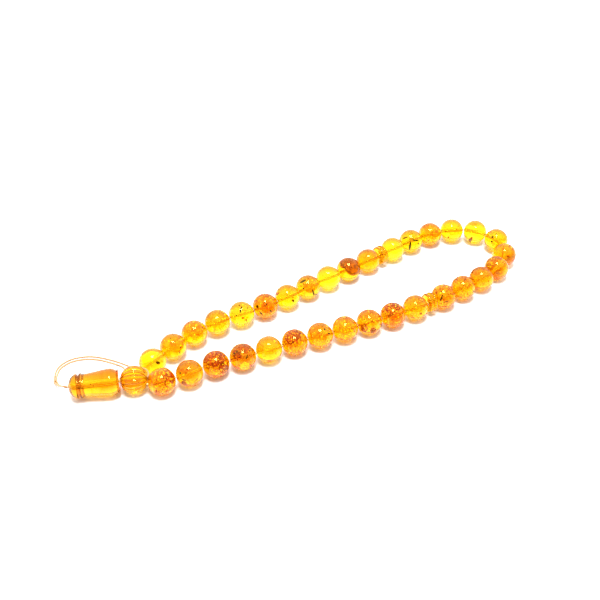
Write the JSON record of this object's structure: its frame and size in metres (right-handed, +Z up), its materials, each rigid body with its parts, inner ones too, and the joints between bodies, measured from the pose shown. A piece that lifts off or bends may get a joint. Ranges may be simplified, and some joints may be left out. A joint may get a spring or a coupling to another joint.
{
  "type": "misbaha",
  "caption": "Strand of round amber prayer beads with grooved separators, a ribbed bead, a long domed head bead and a knotted cord loop.",
  "frame": {"origin": "middle of the strand's footprint, without the hanger, on the surface it lies on", "axes": "+Z up, +X along the strand from the head bead to the turn of the loop"},
  "size_m": [0.1576, 0.0386, 0.008],
  "materials": {
    "cord": "cream tan translucent nylon thread",
    "ribbed_bead": "polished translucent amber",
    "imam": "polished translucent amber",
    "separator_1": "polished translucent amber",
    "separator_2": "polished translucent amber",
    "amber_01": "polished translucent amber",
    "amber_02": "polished translucent amber",
    "amber_03": "polished translucent amber",
    "amber_04": "polished translucent amber",
    "amber_05": "polished translucent amber",
    "amber_06": "polished translucent amber",
    "amber_07": "polished translucent amber",
    "amber_08": "polished translucent amber",
    "amber_09": "polished translucent amber",
    "amber_10": "polished translucent amber",
    "amber_11": "polished translucent amber",
    "amber_12": "polished translucent amber",
    "amber_13": "polished translucent amber",
    "amber_14": "polished translucent amber",
    "amber_15": "polished translucent amber",
    "amber_16": "polished translucent amber",
    "amber_17": "polished translucent amber",
    "amber_18": "polished translucent amber",
    "amber_19": "polished translucent amber",
    "amber_20": "polished translucent amber",
    "amber_21": "polished translucent amber",
    "amber_22": "polished translucent amber",
    "amber_23": "polished translucent amber",
    "amber_24": "polished translucent amber",
    "amber_25": "polished translucent amber",
    "amber_26": "polished translucent amber",
    "amber_27": "polished translucent amber",
    "amber_28": "polished translucent amber",
    "amber_29": "polished translucent amber",
    "amber_30": "polished translucent amber",
    "amber_31": "polished translucent amber",
    "amber_32": "polished translucent amber",
    "amber_33": "polished translucent amber"
  },
  "bodies": {
    "neck": {"cord_neck": "cord"},
    "ribbed": {"ribbed_bead": "ribbed_bead"},
    "head": {"cord_head": "cord"},
    "imam": {"imam": "imam"},
    "hanger": {"hanger_loop": "cord", "hanger_knot": "cord"},
    "link_a1": {"cord_link_a1": "cord"},
    "link_a2": {"cord_link_a2": "cord"},
    "link_a3": {"cord_link_a3": "cord"},
    "link_a4": {"cord_link_a4": "cord"},
    "link_a5": {"cord_link_a5": "cord"},
    "link_a6": {"cord_link_a6": "cord"},
    "link_a7": {"cord_link_a7": "cord"},
    "link_a8": {"cord_link_a8": "cord"},
    "link_a9": {"cord_link_a9": "cord"},
    "link_b1": {"cord_link_b1": "cord"},
    "link_b2": {"cord_link_b2": "cord"},
    "link_b3": {"cord_link_b3": "cord"},
    "link_b4": {"cord_link_b4": "cord"},
    "link_b5": {"cord_link_b5": "cord"},
    "link_b6": {"cord_link_b6": "cord"},
    "link_b7": {"cord_link_b7": "cord"},
    "link_b8": {"cord_link_b8": "cord"},
    "link_b9": {"cord_link_b9": "cord"},
    "bead_01": {"bead_01": "amber_01"},
    "bead_02": {"bead_02": "amber_02"},
    "bead_03": {"bead_03": "amber_03"},
    "bead_04": {"bead_04": "amber_04"},
    "bead_05": {"bead_05": "amber_05"},
    "bead_06": {"bead_06": "amber_06"},
    "bead_07": {"bead_07": "amber_07"},
    "bead_08": {"bead_08": "amber_08"},
    "bead_09": {"bead_09": "amber_09"},
    "bead_10": {"bead_10": "amber_10"},
    "bead_11": {"bead_11": "amber_11"},
    "separator_1": {"separator_1": "separator_1"},
    "bead_12": {"bead_12": "amber_12"},
    "bead_13": {"bead_13": "amber_13"},
    "bead_14": {"bead_14": "amber_14"},
    "bead_15": {"bead_15": "amber_15"},
    "bead_16": {"bead_16": "amber_16"},
    "bead_17": {"bead_17": "amber_17"},
    "bead_33": {"bead_33": "amber_33"},
    "bead_32": {"bead_32": "amber_32"},
    "bead_31": {"bead_31": "amber_31"},
    "bead_30": {"bead_30": "amber_30"},
    "bead_29": {"bead_29": "amber_29"},
    "bead_28": {"bead_28": "amber_28"},
    "bead_27": {"bead_27": "amber_27"},
    "bead_26": {"bead_26": "amber_26"},
    "bead_25": {"bead_25": "amber_25"},
    "bead_24": {"bead_24": "amber_24"},
    "bead_23": {"bead_23": "amber_23"},
    "separator_2": {"separator_2": "separator_2"},
    "bead_22": {"bead_22": "amber_22"},
    "bead_21": {"bead_21": "amber_21"},
    "bead_20": {"bead_20": "amber_20"},
    "bead_19": {"bead_19": "amber_19"},
    "bead_18": {"bead_18": "amber_18"}
  },
  "joints": [
    {"name": "loop_spread", "type": "hinge", "parent": "neck", "child": "link_a1", "pos_m": [-0.0564, -0.0026, 0.004], "axis": [0, 0, 1], "range_deg": [-3, 20]},
    {"name": "head_swing", "type": "hinge", "parent": "neck", "child": "head", "pos_m": [-0.06338, -0.00411, 0.004], "axis": [0, 0, 1], "range_deg": [-6, 8]},
    {"name": "hanger_swing", "type": "hinge", "parent": "head", "child": "hanger", "pos_m": [-0.07721, 0.00025, 0.004], "axis": [0, 0, 1], "range_deg": [0, 45]},
    {"name": "flex_a2", "type": "hinge", "parent": "link_a1", "child": "link_a2", "pos_m": [-0.04121, 0.00385, 0.004], "axis": [0, 0, 1], "range_deg": [-5.2, 0.9]},
    {"name": "flex_a3", "type": "hinge", "parent": "link_a2", "child": "link_a3", "pos_m": [-0.02508, 0.00655, 0.004], "axis": [0, 0, 1], "range_deg": [-6.4, 1.1]},
    {"name": "flex_a4", "type": "hinge", "parent": "link_a3", "child": "link_a4", "pos_m": [-0.00868, 0.00684, 0.004], "axis": [0, 0, 1], "range_deg": [-6.7, 1.1]},
    {"name": "flex_a5", "type": "hinge", "parent": "link_a4", "child": "link_a5", "pos_m": [0.00752, 0.0094, 0.004], "axis": [0, 0, 1], "range_deg": [-5.1, 0.9]},
    {"name": "flex_a6", "type": "hinge", "parent": "link_a5", "child": "link_a6", "pos_m": [0.02382, 0.01126, 0.004], "axis": [0, 0, 1], "range_deg": [-3.3, 0.6]},
    {"name": "flex_a7", "type": "hinge", "parent": "link_a6", "child": "link_a7", "pos_m": [0.03457, 0.01306, 0.004], "axis": [0, 0, 1], "range_deg": [-1.5, 0.3]},
    {"name": "flex_a8", "type": "hinge", "parent": "link_a7", "child": "link_a8", "pos_m": [0.05083, 0.01534, 0.004], "axis": [0, 0, 1], "range_deg": [-0.8, 0.2]},
    {"name": "flex_a9", "type": "hinge", "parent": "link_a8", "child": "link_a9", "pos_m": [0.06693, 0.01206, 0.004], "axis": [0, 0, 1], "range_deg": [-0.5, 2.4]},
    {"name": "flex_b1", "type": "hinge", "parent": "neck", "child": "link_b1", "pos_m": [-0.05695, -0.00875, 0.004], "axis": [0, 0, 1], "range_deg": [-13.9, 2.2]},
    {"name": "flex_b2", "type": "hinge", "parent": "link_b1", "child": "link_b2", "pos_m": [-0.04059, -0.00976, 0.004], "axis": [0, 0, 1], "range_deg": [-1, 5.5]},
    {"name": "flex_b3", "type": "hinge", "parent": "link_b2", "child": "link_b3", "pos_m": [-0.02424, -0.01134, 0.004], "axis": [0, 0, 1], "range_deg": [-0.9, 5.1]},
    {"name": "flex_b4", "type": "hinge", "parent": "link_b3", "child": "link_b4", "pos_m": [-0.0079, -0.01277, 0.004], "axis": [0, 0, 1], "range_deg": [-0.7, 3.9]},
    {"name": "flex_b5", "type": "hinge", "parent": "link_b4", "child": "link_b5", "pos_m": [0.00841, -0.01448, 0.004], "axis": [0, 0, 1], "range_deg": [-0.7, 4]},
    {"name": "flex_b6", "type": "hinge", "parent": "link_b5", "child": "link_b6", "pos_m": [0.02477, -0.01563, 0.004], "axis": [0, 0, 1], "range_deg": [-0.8, 4.2]},
    {"name": "flex_b7", "type": "hinge", "parent": "link_b6", "child": "link_b7", "pos_m": [0.03568, -0.01539, 0.004], "axis": [0, 0, 1], "range_deg": [-0.8, 4.4]},
    {"name": "flex_b8", "type": "hinge", "parent": "link_b7", "child": "link_b8", "pos_m": [0.052, -0.01382, 0.004], "axis": [0, 0, 1], "range_deg": [-0.8, 4.4]},
    {"name": "flex_b9", "type": "hinge", "parent": "link_b8", "child": "link_b9", "pos_m": [0.06778, -0.00928, 0.004], "axis": [0, 0, 1], "range_deg": [-0.5, 2.5]},
    {"name": "ribbed_bead_spin", "type": "hinge", "parent": "neck", "child": "ribbed", "pos_m": [-0.05965, -0.0054, 0.004], "axis": [0.9455, -0.3256, 0], "continuous": true},
    {"name": "imam_spin", "type": "hinge", "parent": "head", "child": "imam", "pos_m": [-0.0703, -0.00193, 0.004], "axis": [-0.9537, 0.3007, 0], "continuous": true},
    {"name": "separator_1_spin", "type": "hinge", "parent": "link_a6", "child": "separator_1", "pos_m": [0.03325, 0.0128, 0.004], "axis": [0.9816, 0.1908, 0], "continuous": true},
    {"name": "separator_2_spin", "type": "hinge", "parent": "link_b6", "child": "separator_2", "pos_m": [0.03433, -0.01544, 0.004], "axis": [0.9994, 0.0349, 0], "continuous": true},
    {"name": "bead_01_spin", "type": "hinge", "parent": "link_a1", "child": "bead_01", "pos_m": [-0.05256, -0.00089, 0.004], "axis": [0.9135, 0.4067, 0], "continuous": true},
    {"name": "bead_02_spin", "type": "hinge", "parent": "link_a1", "child": "bead_02", "pos_m": [-0.04501, 0.00231, 0.004], "axis": [0.9272, 0.3746, 0], "continuous": true},
    {"name": "bead_03_spin", "type": "hinge", "parent": "link_a2", "child": "bead_03", "pos_m": [-0.03726, 0.00498, 0.004], "axis": [0.9613, 0.2756, 0], "continuous": true},
    {"name": "bead_04_spin", "type": "hinge", "parent": "link_a2", "child": "bead_04", "pos_m": [-0.02917, 0.00634, 0.004], "axis": [0.9986, 0.0523, 0], "continuous": true},
    {"name": "bead_05_spin", "type": "hinge", "parent": "link_a3", "child": "bead_05", "pos_m": [-0.02098, 0.00648, 0.004], "axis": [0.9998, -0.0175, 0], "continuous": true},
    {"name": "bead_06_spin", "type": "hinge", "parent": "link_a3", "child": "bead_06", "pos_m": [-0.01278, 0.00662, 0.004], "axis": [0.9986, 0.0523, 0], "continuous": true},
    {"name": "bead_07_spin", "type": "hinge", "parent": "link_a4", "child": "bead_07", "pos_m": [-0.00461, 0.00741, 0.004], "axis": [0.9903, 0.1392, 0], "continuous": true},
    {"name": "bead_08_spin", "type": "hinge", "parent": "link_a4", "child": "bead_08", "pos_m": [0.00348, 0.00869, 0.004], "axis": [0.9848, 0.1736, 0], "continuous": true},
    {"name": "bead_09_spin", "type": "hinge", "parent": "link_a5", "child": "bead_09", "pos_m": [0.01159, 0.0099, 0.004], "axis": [0.9925, 0.1219, 0], "continuous": true},
    {"name": "bead_10_spin", "type": "hinge", "parent": "link_a5", "child": "bead_10", "pos_m": [0.01974, 0.01083, 0.004], "axis": [0.9945, 0.1045, 0], "continuous": true},
    {"name": "bead_11_spin", "type": "hinge", "parent": "link_a6", "child": "bead_11", "pos_m": [0.02787, 0.0119, 0.004], "axis": [0.9877, 0.1564, 0], "continuous": true},
    {"name": "bead_12_spin", "type": "hinge", "parent": "link_a7", "child": "bead_12", "pos_m": [0.03863, 0.01363, 0.004], "axis": [0.9903, 0.1392, 0], "continuous": true},
    {"name": "bead_13_spin", "type": "hinge", "parent": "link_a7", "child": "bead_13", "pos_m": [0.04675, 0.01477, 0.004], "axis": [0.9903, 0.1392, 0], "continuous": true},
    {"name": "bead_14_spin", "type": "hinge", "parent": "link_a8", "child": "bead_14", "pos_m": [0.05495, 0.01513, 0.004], "axis": [0.9986, -0.0523, 0], "continuous": true},
    {"name": "bead_15_spin", "type": "hinge", "parent": "link_a8", "child": "bead_15", "pos_m": [0.06298, 0.01349, 0.004], "axis": [0.9397, -0.342, 0], "continuous": true},
    {"name": "bead_16_spin", "type": "hinge", "parent": "link_a9", "child": "bead_16", "pos_m": [0.0699, 0.00909, 0.004], "axis": [0.7071, -0.7071, 0], "continuous": true},
    {"name": "bead_17_spin", "type": "hinge", "parent": "link_a9", "child": "bead_17", "pos_m": [0.07343, 0.00169, 0.004], "axis": [0.1045, -0.9945, 0], "continuous": true},
    {"name": "bead_18_spin", "type": "hinge", "parent": "link_b9", "child": "bead_18", "pos_m": [0.07069, -0.00627, 0.004], "axis": [0.6947, 0.7193, 0], "continuous": true},
    {"name": "bead_19_spin", "type": "hinge", "parent": "link_b8", "child": "bead_19", "pos_m": [0.06393, -0.01092, 0.004], "axis": [0.9205, 0.3907, 0], "continuous": true},
    {"name": "bead_20_spin", "type": "hinge", "parent": "link_b8", "child": "bead_20", "pos_m": [0.05605, -0.01318, 0.004], "axis": [0.9877, 0.1564, 0], "continuous": true},
    {"name": "bead_21_spin", "type": "hinge", "parent": "link_b7", "child": "bead_21", "pos_m": [0.04793, -0.01432, 0.004], "axis": [0.9925, 0.1219, 0], "continuous": true},
    {"name": "bead_22_spin", "type": "hinge", "parent": "link_b7", "child": "bead_22", "pos_m": [0.03977, -0.0151, 0.004], "axis": [0.9976, 0.0698, 0], "continuous": true},
    {"name": "bead_23_spin", "type": "hinge", "parent": "link_b6", "child": "bead_23", "pos_m": [0.02888, -0.01555, 0.004], "axis": [0.9998, 0.0175, 0], "continuous": true},
    {"name": "bead_24_spin", "type": "hinge", "parent": "link_b5", "child": "bead_24", "pos_m": [0.02068, -0.01534, 0.004], "axis": [0.9976, -0.0698, 0], "continuous": true},
    {"name": "bead_25_spin", "type": "hinge", "parent": "link_b5", "child": "bead_25", "pos_m": [0.0125, -0.01477, 0.004], "axis": [0.9976, -0.0698, 0], "continuous": true},
    {"name": "bead_26_spin", "type": "hinge", "parent": "link_b4", "child": "bead_26", "pos_m": [0.00433, -0.01413, 0.004], "axis": [0.9962, -0.0872, 0], "continuous": true},
    {"name": "bead_27_spin", "type": "hinge", "parent": "link_b4", "child": "bead_27", "pos_m": [-0.00383, -0.01327, 0.004], "axis": [0.9925, -0.1219, 0], "continuous": true},
    {"name": "bead_28_spin", "type": "hinge", "parent": "link_b3", "child": "bead_28", "pos_m": [-0.01198, -0.01241, 0.004], "axis": [0.9962, -0.0872, 0], "continuous": true},
    {"name": "bead_29_spin", "type": "hinge", "parent": "link_b3", "child": "bead_29", "pos_m": [-0.02015, -0.0117, 0.004], "axis": [0.9962, -0.0872, 0], "continuous": true},
    {"name": "bead_30_spin", "type": "hinge", "parent": "link_b2", "child": "bead_30", "pos_m": [-0.02833, -0.01105, 0.004], "axis": [0.9976, -0.0698, 0], "continuous": true},
    {"name": "bead_31_spin", "type": "hinge", "parent": "link_b2", "child": "bead_31", "pos_m": [-0.03649, -0.01027, 0.004], "axis": [0.9925, -0.1219, 0], "continuous": true},
    {"name": "bead_32_spin", "type": "hinge", "parent": "link_b1", "child": "bead_32", "pos_m": [-0.04469, -0.01027, 0.004], "axis": [0.9925, 0.1219, 0], "continuous": true},
    {"name": "bead_33_spin", "type": "hinge", "parent": "link_b1", "child": "bead_33", "pos_m": [-0.05287, -0.00977, 0.004], "axis": [0.9703, -0.2419, 0], "continuous": true}
  ],
  "couplings": [
    {"joint": "flex_a2", "follows": "loop_spread", "ratio": -0.2507},
    {"joint": "flex_a3", "follows": "loop_spread", "ratio": -0.3125},
    {"joint": "flex_a4", "follows": "loop_spread", "ratio": -0.3262},
    {"joint": "flex_a5", "follows": "loop_spread", "ratio": -0.248},
    {"joint": "flex_a6", "follows": "loop_spread", "ratio": -0.1561},
    {"joint": "flex_a7", "follows": "loop_spread", "ratio": -0.0665},
    {"joint": "flex_a8", "follows": "loop_spread", "ratio": -0.0319},
    {"joint": "flex_a9", "follows": "loop_spread", "ratio": 0.1143},
    {"joint": "flex_b1", "follows": "loop_spread", "ratio": -0.6854},
    {"joint": "flex_b2", "follows": "loop_spread", "ratio": 0.269},
    {"joint": "flex_b3", "follows": "loop_spread", "ratio": 0.2455},
    {"joint": "flex_b4", "follows": "loop_spread", "ratio": 0.1893},
    {"joint": "flex_b5", "follows": "loop_spread", "ratio": 0.1927},
    {"joint": "flex_b6", "follows": "loop_spread", "ratio": 0.205},
    {"joint": "flex_b7", "follows": "loop_spread", "ratio": 0.2136},
    {"joint": "flex_b8", "follows": "loop_spread", "ratio": 0.2125},
    {"joint": "flex_b9", "follows": "loop_spread", "ratio": 0.1181}
  ]
}
